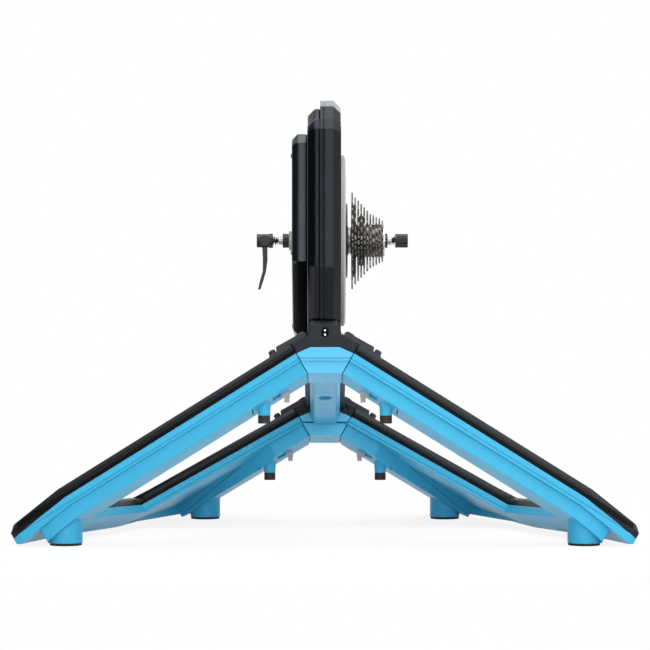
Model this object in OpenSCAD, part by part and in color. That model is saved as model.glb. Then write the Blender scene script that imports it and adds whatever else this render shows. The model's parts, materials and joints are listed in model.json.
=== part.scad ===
// Direct drive bike trainer with two fold-up leg wings.
// +X is the cassette side, +Y is the front, +Z is up. The origin is on the floor, midway.

/* [Spine and hubs] */
// Rear face of the rear hub
hub_y = -262; // [-280:1:-250]
// Height of the rear hub's seam corner over the floor
hub_z = 243; // [230:1:260]
// Slope of the spine, down towards the front
slope = 15; // [10:0.5:18]
// Droop of each wing
droop = 30; // [26:0.5:32]
// Half width of a hub at its seam corner
seam_x = 40.8; // [38:0.2:46]
// Length of a hub along the spine
hub_len = 57; // [50:1:64]
// Distance from the rear hub to the front hub
hub_pitch = 340; // [320:1:350]
// Half width of the spine
spine_half = 19; // [17:0.5:21]
// Depth of the spine under the body
spine_depth = 29.5; // [24:0.5:34]
// Width of the black trim on each side of the spine
trim_w = 6.3; // [4:0.1:8]
// Height of the body's floor over the spine plane
deck = 8; // [6:0.5:9]

/* [Wings] */
// Gap between a wing and its hub
seam_gap = 0.8; // [0.4:0.1:1]
// Thickness of the black wing cover
cover_t = 14; // [10:0.5:16]
// Bevel along the cover's top edges
cover_bevel = 5.5; // [2:0.5:7]
// Thickness of the wing's flange
flange_t = 11; // [8:0.5:13]
// Depth of the ribs under the flange
rib_t = 16.5; // [12:0.5:18]
// Reach of a wing from its seam
wing_reach = 395; // [380:1:400]
// Drop of the tip facet
tip_drop = 7.6; // [4:0.2:10]
// Lift of the front facet
front_lift = 7; // [4:0.5:9]
// Thickness of the outer skirt
skirt_t = 6; // [4:0.5:9]
// Clearance of the skirt over the floor
skirt_z = 6; // [4:0.5:10]

/* [Feet and pegs] */
// Diameter of a foot
foot_d = 40; // [30:1:44]
// Distance of the rear feet from the middle
rear_foot_x = 311; // [300:1:316]
// Place of the rear feet along the trainer
rear_foot_y = -210; // [-214:1:-204]
// Distance of the front feet from the middle
front_foot_x = 162; // [155:1:168]
// Place of the front feet along the trainer
front_foot_y = 198; // [190:1:204]
// Thickness of a rubber foot pad
pad_t = 3; // [2:0.5:5]
// Diameter of a storage peg
peg_d = 14.6; // [12:0.2:16]
// Widening of a peg on the radius, for each millimetre upwards
peg_taper = 0.055; // [0.02:0.005:0.06]
// Distance of a peg from the middle
peg_x = 72.5; // [68:0.5:80]
// Distance of a stop clip from the middle
clip_x = 47.2; // [46:0.2:50]
// Length of a peg's rubber cap
peg_cap = 9.6; // [6:0.2:12]

/* [Fold hinges] */
// Distance of the fold axis from the middle
hinge_x = 27; // [26.5:0.1:28.5]
// Height of the fold axis over the spine plane
hinge_n = 13.4; // [13.2:0.1:14]
// Diameter of a hinge pin
pin_d = 5; // [4:0.5:5.5]
// Running clearance on a radius
run_gap = 0.05; // [0.02:0.01:0.1]
// Seat clearance on a radius
seat_gap = 0.02; // [0.01:0.01:0.05]
// Width of a hinge leaf
leaf_w = 18; // [14:1:20]
// Thickness of a bracket ear
ear_t = 4.5; // [3:0.5:6]
// Radius of a hinge knuckle
knuckle_r = 4.4; // [4:0.1:4.5]
// Diameter of a leaf bolt
bolt_d = 4; // [3:0.5:5]

/* [Body] */
// Left face of the housing
body_left = -21; // [-24:0.5:-20]
// Right face of the housing
body_right = 19; // [18:0.5:21]
// Place of the seam between the housing halves
body_seam = -6; // [-8:0.5:-4]
// Height of the housing's top rail, right of the seam
rail_z = 544.5; // [538:0.5:548]
// Height of the housing's top left of the seam
top_left_z = 533; // [528:0.5:536]
// Wall of the housing
wall = 3; // [2:0.5:4]
// Bevel round the housing's rim
rim_bevel = 9; // [5:0.5:10]
// Outer face of the motor cover
motor_left = -39.5; // [-42:0.5:-38]
// Bevel round the motor cover
motor_bevel = 7; // [4:0.5:8]
// Outer face of the right side cover
side_right = 25; // [23:0.5:26]
// Radius of the right side cover
side_r = 106; // [90:1:112]

/* [Axle and motor] */
// Place of the axle along the trainer
axle_y = -95; // [-100:1:-90]
// Height of the axle
axle_z = 368; // [360:1:374]
// Diameter of the axle
axle_d = 15; // [14:0.5:16]
// Bore of the axle
axle_bore = 5.5; // [5.2:0.1:6]
// Diameter of the axle's dropout ends
drop_d = 9.8; // [9:0.1:10]
// Length of a dropout end
drop_len = 5; // [4:0.5:6]
// Left dropout face
drop_left = -52.5; // [-54:0.5:-51]
// Gap between the last sprocket and the right dropout face
drop_gap = 5.4; // [4.6:0.1:7]
// Length of the boss ring on the motor cover
boss_ring_len = 5.2; // [3:0.2:7]
// Outer radius of the rotor drum
drum_r = 112; // [105:0.5:113]
// Wall of the rotor drum
drum_t = 5; // [4:0.5:6]
// Thickness of a magnet
magnet_t = 3.4; // [3:0.2:5]
// Number of magnets
magnet_count = 32; // [24:2:36]
// Air gap between magnets and stator
air_gap = 1; // [0.6:0.1:1.5]
// Number of stator slots
slot_count = 24; // [18:3:30]
// Length of a stator tooth beside its coil
coil_h = 22; // [18:0.5:24]
// Depth of the stator's back iron
core_back = 14.6; // [10:0.2:16]

/* [Cassette] */
// Teeth on the sprockets, largest first
teeth = [28, 25, 23, 21, 19, 17, 15, 14, 13, 12, 11];
// Chain pitch
chain_pitch = 12.7; // [12.7:0.1:12.8]
// Distance between sprockets
cog_pitch = 3.75; // [3.6:0.05:3.9]
// Thickness of a sprocket
cog_t = 1.8; // [1.6:0.1:2]
// Left face of the largest sprocket
cog_x = 32.8; // [32.4:0.1:33.4]
// Outer radius of the freehub body
freehub_r = 17; // [16.6:0.1:17.2]

/* [Skewer] */
// Diameter of the skewer rod
rod_d = 4.8; // [4.5:0.1:5]
// Diameter of the lever head
head_d = 18; // [16:0.5:20]
// Length of the lever head
head_len = 20; // [18:0.5:22]
// Diameter of the nut
nut_d = 17; // [15:0.5:19]
// Length of the nut
nut_len = 15.5; // [12:0.5:18]
// Diameter of the spring wire
wire_d = 0.9; // [0.8:0.1:1]
// Turns of a skewer spring
spring_turns = 2.5; // [2:0.5:3]

/* [Hidden] */
$fn = 64;

BLUE = "#3caad5";
BLACK = "#2b2c2d";
GREY = "#b5b0ac";
STEEL = "#9a9da0";
DARK = "#1c1d1e";
RUBBER = "#161616";
CLEAR = "#dcdcd6";
COPPER = "#b06a3a";

ct = cos(slope);
st = sin(slope);
ca = cos(droop);
sa = sin(droop);
flange_low = cover_t + flange_t;
total_t = flange_low + rib_t;
hub_pitches = [0, hub_pitch];
foot_r = foot_d / 2;
peg_r = peg_d / 2;

// Plan points of a wing: u runs out from the seam, v runs forwards along the spine
rear_slope = 71 / 320;
outer_slope = 0.467;
corner_rear = [wing_reach - 9, (wing_reach - 9) * rear_slope];
corner_tip = [wing_reach, 92];
function outer_u(v) = wing_reach - outer_slope * (v - corner_tip[1]);
tip_root = [320, 320 * rear_slope];
tip_turn = atan(0.234);
front_end = [outer_u(563), 563];
front_blunt = [165, 580];
front_corner = [150, 584];
root_front = [0, hub_pitch + hub_len];
root_front_rear = [0, hub_pitch];
open_front = [234, hub_pitch - 1];
open_tip = [330, 134];
root_rear = [0, hub_len - 2];
front_turn = atan((root_front[1] - open_front[1]) / open_front[0]);
OUTLINE = [[0, 0], corner_rear, corner_tip, front_end, front_blunt, front_corner,
    root_front, root_front_rear, open_front, open_tip, root_rear];
tip_fold_end = [outer_u(184), 184];
front_fold_end = [outer_u(331), 331];

// Frames: spine plane, wing plane, tip facet and front facet
module hub_frame() translate([0, hub_y, hub_z]) rotate([-slope, 0, 0]) children();
module wing_frame() hub_frame() translate([seam_x, 0, 0]) rotate([0, droop, 0]) children();
module tip_frame()
    translate(tip_root) rotate([0, 0, -tip_turn]) rotate([0, tip_drop, 0])
        rotate([0, 0, tip_turn]) translate(-tip_root) children();
module front_frame()
    translate(root_front) rotate([0, 0, -front_turn]) rotate([front_lift, 0, 0])
        rotate([0, 0, front_turn]) translate(-root_front) children();
module axle_frame() translate([0, axle_y, axle_z]) rotate([0, 90, 0]) children();
module both_roots() for (v = hub_pitches) translate([0, v * ct, -v * st]) children();
function hub_yz(v, n) = [hub_y + ct * v + st * n, hub_z - st * v + ct * n];

// Prisms along the spine, across the body and up from a plan
module v_prism(v0, v1, pts)
    translate([0, v1, 0]) rotate([90, 0, 0]) linear_extrude(v1 - v0) polygon(pts);
module x_prism(x0, x1, pts)
    translate([x0, 0, 0]) rotate([90, 0, 90]) linear_extrude(x1 - x0) polygon(pts);
module ring(x0, x1, r_out, r_in)
    axle_frame() translate([0, 0, x0]) difference() {
        cylinder(h = x1 - x0, r = r_out);
        translate([0, 0, -1]) cylinder(h = x1 - x0 + 2, r = r_in);
    }

// The wedge that bevels the edge from p to q of a face at height 0, inside on the left
module edge_wedge(p, q, c, more = 0.2) {
    d = q - p;
    translate(p) rotate([0, 0, atan2(d[1], d[0])]) translate([-more, 0, 0]) rotate([90, 0, 90])
        linear_extrude(norm(d) + 2 * more) polygon([[-8, -c - 8], [c + 8, 8], [-8, 8]]);
}
function left_normal(a, b) = [a[1] - b[1], b[0] - a[0]] / norm(b - a);
function inset(pts, d) = [for (i = [0 : len(pts) - 1])
    let (n = len(pts), a = pts[(i + n - 1) % n], b = pts[i], c = pts[(i + 1) % n],
        n1 = left_normal(a, b), n2 = left_normal(b, c)) b + d * (n1 + n2) / (1 + n1 * n2)];
// A plate in the plane of its outline with a bevelled upper rim, whose bevels differ a little
// from one edge to the next so that no four faces meet in one point; the plain edges stay sharp
bevel_step = 0.2;
module bevelled_plate(pts, t, c, plain = []) {
    n = len(pts);
    difference() {
        linear_extrude(t) polygon(pts);
        for (i = [0 : n - 1]) if (len(search(i, plain)) == 0) translate([0, 0, t])
            edge_wedge(pts[i], pts[(i + 1) % n], c - bevel_step * (i % 3),
                len(search(i + 1, plain)) > 0 ? c : 1);
    }
}

// Everything under the wing's skin by the depth d
module below(d) {
    intersection() {
        translate([-60, -60, -d - 200]) cube([600, 760, 200]);
        tip_frame() translate([-200, -160, -d - 220]) cube([760, 960, 220]);
    }
    front_frame() translate([-60, hub_pitch - 40, -d - 150]) cube([420, 380, 150]);
}
module plan(pts) translate([0, 0, -80]) linear_extrude(160) polygon(pts);
module seam_cut() translate([-80, -100, -150]) cube([80 + seam_gap, 900, 300]);
module leaf_bolts(r, w0, w1)
    for (v = hub_pitches) translate([leaf_bolt_u, v + hub_len / 2, w0]) cylinder(h = w1 - w0, r = r);

leaf_bolt_u = 21.5;
pin_u = (hinge_x - seam_x) * ca - hinge_n * sa;
pin_w = (hinge_x - seam_x) * sa + hinge_n * ca;
leaf_v0 = hub_len / 2 - leaf_w / 2;
leaf_reach = 27.5;
tongue_t = 3.5;
strap_t = 9;
strap_end = 15;
bolt_head_r = 4.4;
bolt_head_h = 6;
bolt_hole = bolt_d / 2 + run_gap;
bolt_depth = 9;

module wing_cover() color(BLACK) wing_frame() difference() {
    intersection() {
        plan(OUTLINE);
        below(0);
    }
    below(cover_t);
    seam_cut();
    edge_wedge([-20, -20 * rear_slope], tip_root, cover_bevel);
    edge_wedge(tip_fold_end, front_fold_end, cover_bevel, 1);
    edge_wedge(root_front_rear - [20, 0], open_front, cover_bevel, 3);
    edge_wedge(open_front, open_tip, cover_bevel, 3);
    edge_wedge(open_tip, root_rear - [20, 4.8], cover_bevel, 3);
    tip_frame() {
        edge_wedge(tip_root, corner_rear, cover_bevel, 1);
        edge_wedge(corner_rear, corner_tip, cover_bevel);
        edge_wedge(corner_tip, tip_fold_end, cover_bevel, 1);
    }
    front_frame() {
        edge_wedge(front_fold_end, front_end, cover_bevel, 1);
        edge_wedge(front_end, front_blunt, cover_bevel, 1);
        edge_wedge(front_blunt, front_corner, cover_bevel, 1);
        edge_wedge(front_corner, root_front, cover_bevel, 1);
    }
    leaf_bolts(bolt_hole, -cover_t - 1, 1);
}

rib_inset = 4;
RIB_REAR = [[0, rib_inset], [345, 81], [362, 89], [362, 122], [340, 129], [0, root_rear[1] - rib_inset]];
RIB_FRONT = [[-12, hub_pitch + 2], [50, hub_pitch + 12], [189, 492], [159, 532], [-12, 383]];
skirt_pts = [corner_tip, front_end];
// Place over the floor of a plan point at the depth d
function plan_xy(p, d) =
    [seam_x + ca * p[0] - sa * d, hub_y + ct * p[1] - sa * st * p[0] - ca * st * d];

module legs(r, z0, z1) {
    for (f = [[rear_foot_x, rear_foot_y], [front_foot_x, front_foot_y]])
        translate([f[0], f[1], z0]) cylinder(h = z1 - z0, r = r);
}
// Storage pegs hang straight down from the arm roots
peg_y = hub_y + hub_len / 2 - 1.5;
peg_low = hub_z - 96;
module pegs(z0, z1, taper = 0) both_roots() translate([peg_x, peg_y, z0])
    cylinder(h = z1 - z0, r1 = peg_r, r2 = peg_r + taper * (z1 - z0));

clip_w = 10.6;
clip_len = 12;
clip_h = 9;
clip_y = hub_y + 23;
clip_z = hub_z - 66;
tail_w = 6;
tail_h = 5.2;
// Pockets in the underside, on the outer side of each clip
pocket_w = 10.8;
pocket_v = [26, 45];
pocket_u = (clip_x + clip_w / 2 - seam_x + sa * total_t) / ca;
module clip_pockets() for (v = hub_pitches)
    translate([pocket_u, v + pocket_v[0], -total_t - 1]) cube([pocket_w, pocket_v[1] - pocket_v[0], 9]);

// Marks in the underside of the ribs: a line across beside each peg, and short dashes further out
mark_depth = 3;
cross_x = 85;
dash_x = [100, 128];
dash_len = 8;
mark_w = 1.8;
function rib_u(x) = (x - seam_x + sa * total_t) / ca;
module rib_marks() for (v = hub_pitches) {
    translate([rib_u(cross_x), v + 30, -total_t - 1]) cube([mark_w, 26, mark_depth + 1]);
    for (x = dash_x)
        translate([rib_u(x), v + 30 + 0.2 * rib_u(x), -total_t - 1]) cube([dash_len, mark_w, mark_depth + 1]);
}

module wing_casting() color(BLUE) difference() {
    union() {
        wing_frame() difference() {
            intersection() {
                plan(OUTLINE);
                below(cover_t);
            }
            below(flange_low);
        }
        wing_frame() difference() {
            intersection() {
                plan(RIB_REAR);
                below(flange_low - 1);
            }
            below(total_t);
        }
        wing_frame() difference() {
            intersection() {
                front_frame() plan(RIB_FRONT);
                below(flange_low - 2);
            }
            front_frame() translate([-60, 250, -total_t - 150]) cube([420, 420, 150]);
            translate([-60, 250, -total_t - 150]) cube([120, 420, 150]);
        }
        intersection() {
            translate([0, 0, skirt_z]) linear_extrude(90)
                polygon([plan_xy(skirt_pts[0], flange_low), plan_xy(skirt_pts[1], flange_low),
                    plan_xy(skirt_pts[1], flange_low) - [skirt_t, skirt_t / 2],
                    plan_xy(skirt_pts[0], flange_low) - [skirt_t, skirt_t / 2]]);
            wing_frame() below(cover_t + 1);
        }
        intersection() {
            union() {
                legs(foot_r, pad_t, 120);
                pegs(peg_low + peg_cap, hub_z - 10, peg_taper);
            }
            wing_frame() below(cover_t + 2);
        }
    }
    wing_frame() {
        seam_cut();
        leaf_bolts(bolt_hole, -cover_t - bolt_depth, -cover_t + 1);
        clip_pockets();
        rib_marks();
    }
    translate([0, -400, -60]) cube([500, 800, 60 + pad_t]);
}

module foot_pads() color(RUBBER) legs(foot_r - 0.8, 0, pad_t);
module peg_caps() color(RUBBER) pegs(peg_low, peg_low + peg_cap);
// Clips stand upright under the arm roots, cut to the slope of the rib they sit on
module stop_clips() color(CLEAR) intersection() {
    both_roots() translate([clip_x, clip_y, clip_z]) {
        translate([-clip_w / 2, 0, 0]) cube([clip_w, clip_len, clip_h]);
        translate([-clip_w / 2 + 0.5, 2, -tail_h]) cube([tail_w, clip_len - 4, tail_h + 1]);
    }
    wing_frame() below(total_t);
}

// A hinge leaf: knuckle on the pin, strap over the seam, tongue and bolt on the wing
module hinge_leaves() color(BLACK) wing_frame() for (v = hub_pitches) translate([0, v + leaf_v0, 0]) {
    difference() {
        union() {
            translate([pin_u, 0, pin_w]) rotate([-90, 0, 0]) cylinder(h = leaf_w, r = knuckle_r);
            v_prism(0, leaf_w, [[pin_u, pin_w - knuckle_r + 0.6], [seam_gap, pin_w - knuckle_r + 0.6],
                [seam_gap, 0], [leaf_reach, 0], [leaf_reach, tongue_t], [strap_end + 2.5, tongue_t],
                [strap_end, strap_t], [pin_u, strap_t]]);
        }
        translate([pin_u, -1, pin_w]) rotate([-90, 0, 0])
            cylinder(h = leaf_w + 2, r = pin_d / 2 + run_gap);
    }
    translate([leaf_bolt_u, leaf_w / 2, tongue_t - 1]) cylinder(h = bolt_head_h, r = bolt_head_r);
    translate([leaf_bolt_u, leaf_w / 2, tongue_t - 1 + bolt_head_h])
        cylinder(h = 1.2, r1 = bolt_head_r, r2 = bolt_head_r - 1.2);
    translate([leaf_bolt_u, leaf_w / 2, -cover_t - bolt_depth + 0.5])
        cylinder(h = cover_t + bolt_depth, r = bolt_d / 2);
}
ear_gap = 0.4;
module hinge_brackets() color(BLACK) for (side = [0, 1]) mirror([side, 0, 0]) wing_frame()
    for (v = hub_pitches, e = [leaf_v0 - ear_gap - ear_t, leaf_v0 + leaf_w + ear_gap])
        translate([0, v + e, 0]) difference() {
            union() {
                translate([pin_u, 0, pin_w]) rotate([-90, 0, 0]) cylinder(h = ear_t, r = knuckle_r);
                v_prism(0, ear_t,
                    [[pin_u - 2.4, 0], [-1, 0], [-1, 4], [pin_u + 5, strap_t], [pin_u, strap_t]]);
            }
            translate([pin_u, -1, pin_w]) rotate([-90, 0, 0])
                cylinder(h = ear_t + 2, r = pin_d / 2 + seat_gap);
        }
module hinge_pins() color(STEEL) for (side = [0, 1]) mirror([side, 0, 0]) wing_frame()
    for (v = hub_pitches) translate([pin_u, v + leaf_v0 - ear_gap - ear_t, pin_w]) rotate([-90, 0, 0])
        cylinder(h = leaf_w + 2 * (ear_gap + ear_t), r = pin_d / 2);

// Hub sections: the seam runs from the corner down along the wing's end
function seam_pt(d) = [seam_x - sa * d, -ca * d];
flat_x = 17;
flat_n = -4.5;
function both_sides(pts) = concat(pts, [for (i = [len(pts) - 1 : -1 : 0]) [-pts[i][0], pts[i][1]]]);
hub_flange = [[flat_x, flat_n], seam_pt(cover_t), seam_pt(flange_low), [10, seam_pt(flange_low)[1]]];
hub_rib = [[10, seam_pt(flange_low)[1]], seam_pt(flange_low), seam_pt(total_t),
    [10, seam_pt(total_t)[1]]];
hub_rib_inset = 3.5;

module oval(v, w, h, deep) translate([0, v, -1]) {
    translate([-w / 2, -(h - w) / 2, 0]) cube([w, h - w, deep + 1]);
    for (s = [-1, 1]) translate([0, s * (h - w) / 2, 0]) cylinder(h = deep + 1, r = w / 2);
}
spine_low = 8 - spine_depth;
slot_ns = [[18, -seam_pt(total_t)[1]], [162, -spine_low], [230, -spine_low],
    [hub_pitch + 20, -seam_pt(total_t)[1]]];
module frame_casting() color(BLUE) hub_frame() difference() {
    union() {
        for (v = hub_pitches) {
            v_prism(v, v + hub_len, both_sides(hub_flange));
            v_prism(v + hub_rib_inset, v + hub_len - hub_rib_inset, both_sides(hub_rib));
        }
        v_prism(hub_len, hub_pitch, [[spine_half, deck], [-spine_half, deck], [-spine_half, -10],
            [-spine_half + 5, spine_low], [spine_half - 5, spine_low], [spine_half, -10]]);
        v_prism(hub_len - 6, hub_pitch + 6, [[spine_half, -6], [-spine_half, -6], [-spine_half, -10],
            [-spine_half + 5, spine_low], [spine_half - 5, spine_low], [spine_half, -10]]);
    }
    for (s = slot_ns) translate([-4, s[0], -s[1] - 2]) cube([8, 1.6, 5]);
    translate([0, 0, spine_low]) oval(195, 15, 21, 14);
}

inlet_y = hub_y + 13;
inlet_z = 255.5;
hump_low = hub_yz(24, deck - 1);
hump_top = 270;
HUMP = [hub_yz(0, deck - 1), hump_low, [hump_low[0] + 2, hump_top - 4], [hub_y + 6, hump_top],
    [hub_y + 1, hump_top - 6]];
// Rear edge of the housing above the hump, which the hump carries on down to the cover
LEAN = [[-287, 332], [hub_y + 6, 271]];
function lean_y(z) = LEAN[1][0] + (LEAN[1][1] - z) * (LEAN[1][0] - LEAN[0][0]) / (LEAN[0][1] - LEAN[1][1]);
SEAT = [[lean_y(hump_low[1] + 1), hump_low[1] + 1], hump_low, [hump_low[0] + 2, hump_top - 4],
    [lean_y(hump_top), hump_top]];
cap_left = body_left - 0.3;
cap_right = body_right + 0.3;
function cap_n(x) = (seam_x - abs(x)) * tan(droop);
HUB_CAP = [[cap_right, deck], [cap_right, cap_n(cap_right)], [seam_x, 0], seam_pt(cover_t),
    [flat_x, flat_n], [-flat_x, flat_n], [-seam_pt(cover_t)[0], seam_pt(cover_t)[1]],
    [-seam_x, 0], [cap_left, cap_n(cap_left)], [cap_left, deck]];
// Outline [x, z] of the hump from behind: a tongue that flares to the body's sides
flare_z = hub_z + ct * cap_n(cap_right);
flare = [[0.5, -12], [0.5, -0.6], [3.2, 6], [5.4, 12], [6.4, 20]];
HUMP_BACK = concat([for (f = flare) [cap_right - f[0], flare_z + f[1]]],
    [for (i = [len(flare) - 1 : -1 : 0]) [cap_left + flare[i][0], flare_z + flare[i][1]]]);
module hump() {
    intersection() {
        x_prism(cap_left - 1, cap_right + 1, HUMP);
        v_prism(hub_y - 1, hump_low[0] + 3, HUMP_BACK);
    }
    difference() {
        x_prism(body_left, body_right, SEAT);
        rotate([90, 0, 90]) translate([0, 0, body_right])
            edge_wedge(SEAT[3], SEAT[0], rim_bevel, rim_bevel);
        mirror([1, 0, 0]) rotate([90, 0, 90]) translate([0, 0, -body_left])
            edge_wedge(SEAT[3], SEAT[0], rim_bevel, rim_bevel);
    }
}
module inlet_slot(w, h, y0, y1) translate([0, y0, inlet_z]) {
    translate([-w / 2, 0, -(h - w) / 2]) cube([w, y1 - y0, h - w]);
    for (s = [-1, 1]) translate([0, 0, s * (h - w) / 2]) rotate([-90, 0, 0])
        cylinder(h = y1 - y0, r = w / 2);
}
module rear_hub_cover() color(BLACK) difference() {
    union() {
        hub_frame() v_prism(0, hub_len, HUB_CAP);
        hump();
    }
    inlet_slot(7, 10.5, hub_y - 5, inlet_y);
}
inlet_pin_len = 9;
module power_inlet() color(STEEL) for (s = [-1, 1])
    translate([0, inlet_y - inlet_pin_len, inlet_z + s * 2.6]) rotate([-90, 0, 0])
        cylinder(h = inlet_pin_len, r = 1);
trim_n = [-2, 7];
trim_x0 = spine_half + 0.05;
// Cover of the front hub with the trim that runs back along both sides of the spine
module front_hub_cover() color(BLACK) hub_frame() {
    v_prism(hub_pitch, hub_pitch + hub_len, HUB_CAP);
    for (side = [0, 1]) mirror([side, 0, 0]) v_prism(hub_len + 0.4, hub_pitch + 1, [[trim_x0, trim_n[0]],
        [trim_x0 + trim_w, trim_n[0]], [trim_x0 + trim_w, trim_n[1]], [trim_x0, trim_n[1]]]);
}

// Side outline of a housing half [y, z] from the rear hub along the floor to the front and over the top
function body_side(z_top, z_rear) = [hump_low + [2.3, 1], hub_yz(hub_pitch + hub_len, deck), [146, 196],
    [160, 325], [138, 430], [68, z_top - 14], [36, z_top], [-66, z_top], [-188, z_rear], [-206, 510],
    [-276, 507], [-287, 494], LEAN[0], LEAN[1], [hump_low[0] + 2.3, hump_top - 3.5]];
// The edges of that outline that stand on the hump
body_plain = [13, 14];
BODY_RIGHT = body_side(rail_z, 528);
BODY_LEFT = body_side(top_left_z, 525);
MOTOR = [[-160, 251], [-10, 243], [52, 300], [70, 372], [52, 440], [12, 491], [-240, 491], [-252, 480],
    [-252, 338]];
grip_y = [-140, -24];
grip_z = 505;
grip_h = 22;
module grip_hole(x0, x1, more = 0) translate([x0, 0, grip_z])
    rotate([90, 0, 90]) linear_extrude(x1 - x0) {
        for (y = grip_y) translate([y, 0]) circle(r = grip_h / 2 + more);
        translate([grip_y[0], -grip_h / 2 - more]) square([grip_y[1] - grip_y[0], grip_h + 2 * more]);
    }
grip_wall = 3;
motor_hole_r = drum_r + 2;
core_x0 = -30;
core_x1 = -4;
seat = 0.3;
carrier_x0 = core_x0 - 4.5;

module left_housing() color(BLACK) difference() {
    mirror([1, 0, 0]) translate([-body_seam, 0, 0]) rotate([90, 0, 90])
        bevelled_plate(BODY_LEFT, body_seam - body_left, rim_bevel, body_plain);
    x_prism(body_left + rim_bevel + 0.5, body_seam + 1, inset(BODY_LEFT, wall));
    x_prism(body_left + wall, body_seam + 1, inset(BODY_LEFT, rim_bevel + 2));
    axle_frame() translate([0, 0, body_left - 1]) cylinder(h = wall + 2, r = motor_hole_r);
    grip_hole(body_left - 1, body_seam + 1, grip_wall + 0.02);
}
module right_housing() color(BLACK) difference() {
    translate([body_seam, 0, 0]) rotate([90, 0, 90])
        bevelled_plate(BODY_RIGHT, body_right - body_seam, rim_bevel, body_plain);
    x_prism(body_seam + 4, body_right - rim_bevel - 0.5, inset(BODY_RIGHT, wall));
    x_prism(body_seam - 1, body_seam + 5, inset(BODY_LEFT, wall));
    x_prism(body_seam - 1, body_right - wall, inset(BODY_RIGHT, rim_bevel + 2));
    axle_frame() translate([0, 0, body_right - wall - 1]) cylinder(h = wall + 2, r = hub_hole_r);
    grip_hole(body_seam - 1, body_right + 1, grip_wall + 0.02);
}
hub_hole_r = 21;
rotor_hub_r = 18;
boss_r = 21;
module motor_cover() color(BLACK) difference() {
    mirror([1, 0, 0]) translate([-body_left, 0, 0]) rotate([90, 0, 90])
        bevelled_plate(MOTOR, body_left - motor_left, motor_bevel);
    difference() {
        union() {
            x_prism(motor_left + motor_bevel + 0.5, body_left + 1, inset(MOTOR, wall));
            x_prism(motor_left + wall, body_left + 1, inset(MOTOR, motor_bevel + 2));
        }
        axle_frame() translate([0, 0, motor_left])
            cylinder(h = carrier_x0 - seat - motor_left, r = boss_r);
    }
    axle_frame() translate([0, 0, motor_left - 1]) cylinder(h = 8, r = axle_d / 2 + seat_gap);
}
module axle_boss_ring() color(GREY) {
    ring(motor_left - boss_ring_len, motor_left, 12, axle_d / 2 + seat_gap);
    ring(motor_left - 1, motor_left, 17, axle_d / 2 + seat_gap);
}
module side_cover() color(GREY) axle_frame() difference() {
    translate([0, 0, body_right]) {
        cylinder(h = side_right - body_right - 2, r = side_r);
        translate([0, 0, side_right - body_right - 2]) cylinder(h = 2, r1 = side_r, r2 = side_r - 3);
    }
    translate([0, 0, body_right - 1]) cylinder(h = 10, r = hub_hole_r + 1);
}
module carry_handle() color(GREY) difference() {
    grip_hole(body_left + 2, body_right - 0.5, grip_wall);
    grip_hole(body_left - 1, body_right + 1);
}
screw_spots = [[-238, 350], [-238, 465], [-110, 478], [0, 475], [50, 372], [0, 262], [-120, 262]];
module cover_screws() color(STEEL) for (s = screw_spots)
    translate([motor_left - 1, s[0], s[1]]) rotate([0, 90, 0]) cylinder(h = 1, r = 2.6);

// Static axle and stator
drop_right = cog_x + 10 * cog_pitch + cog_t + drop_gap;
drop_width = drop_right - drop_left;
lock_t = 1.6;
adapter_gap = 1.2;
lock_x1 = cog_x + 10 * cog_pitch + cog_t + lock_t;
module main_axle() color(STEEL) axle_frame() difference() {
    union() {
        translate([0, 0, drop_left]) cylinder(h = drop_width, r = axle_d / 2);
        translate([0, 0, drop_left - drop_len]) cylinder(h = drop_width + 2 * drop_len, r = drop_d / 2);
    }
    translate([0, 0, drop_left - drop_len - 1])
        cylinder(h = drop_width + 2 * drop_len + 2, r = axle_bore / 2);
}
module left_axle_adapter() color(DARK)
    ring(drop_left, motor_left - boss_ring_len, 8.7, axle_d / 2 + seat_gap);
module right_axle_adapter() color(DARK)
    ring(lock_x1 + adapter_gap, drop_right, 9, axle_d / 2 + seat_gap);

magnet_r = drum_r - drum_t;
core_r = magnet_r - magnet_t - air_gap;
coil_tip = 4;
coil_w = 8;
slot_in = core_r - coil_tip - coil_h;
core_in = slot_in - core_back;
carrier_lap = 12;
module stator_carrier() color(STEEL) axle_frame() translate([0, 0, carrier_x0]) difference() {
    union() {
        cylinder(h = 4, r = core_in + carrier_lap);
        cylinder(h = 26, r = 15);
    }
    translate([0, 0, -1]) cylinder(h = 40, r = axle_d / 2 + seat_gap);
    for (i = [0 : 5]) rotate(i * 60) translate([38, 0, -1]) cylinder(h = 6, r = 11);
}
module stator_slots(more) for (i = [0 : slot_count - 1]) rotate(i * 360 / slot_count)
    translate([slot_in - more, -coil_w / 2 - more, 0]) cube([coil_h + 2 * more, coil_w + 2 * more, 60]);
module stator_core() color(STEEL) axle_frame() translate([0, 0, core_x0 - 0.5]) difference() {
    cylinder(h = core_x1 - core_x0, r = core_r);
    translate([0, 0, -1]) cylinder(h = 40, r = core_in);
    translate([0, 0, -10]) stator_slots(0.1);
}
module stator_coils() color(COPPER) axle_frame() intersection() {
    translate([0, 0, core_x0 - 10]) stator_slots(0);
    translate([0, 0, core_x0 - 3]) cylinder(h = core_x1 - core_x0 + 5, r = 120);
}
board = [[-30, 208], [96, 250]];
board_x = body_left + wall + 6;
board_t = 1.6;
capacitor_r = 7;
capacitor_pitch = 24;
module control_board() color("#1f5a38") {
    translate([board_x, board[0][0], board[0][1]])
        cube([board_t, board[1][0] - board[0][0], board[1][1] - board[0][1]]);
    for (y = [board[0][0] + 6, board[1][0] - 6], z = [board[0][1] + 6, board[1][1] - 6])
        translate([body_left + wall, y, z]) rotate([0, 90, 0]) cylinder(h = 6, r = 2.5);
}
module board_capacitors() color(DARK) for (i = [0 : 3])
    translate([board_x + board_t, board[0][0] + 10 + i * capacitor_pitch, board[0][1] + capacitor_r + 4])
        rotate([0, 90, 0]) cylinder(h = 9, r = capacitor_r);

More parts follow.
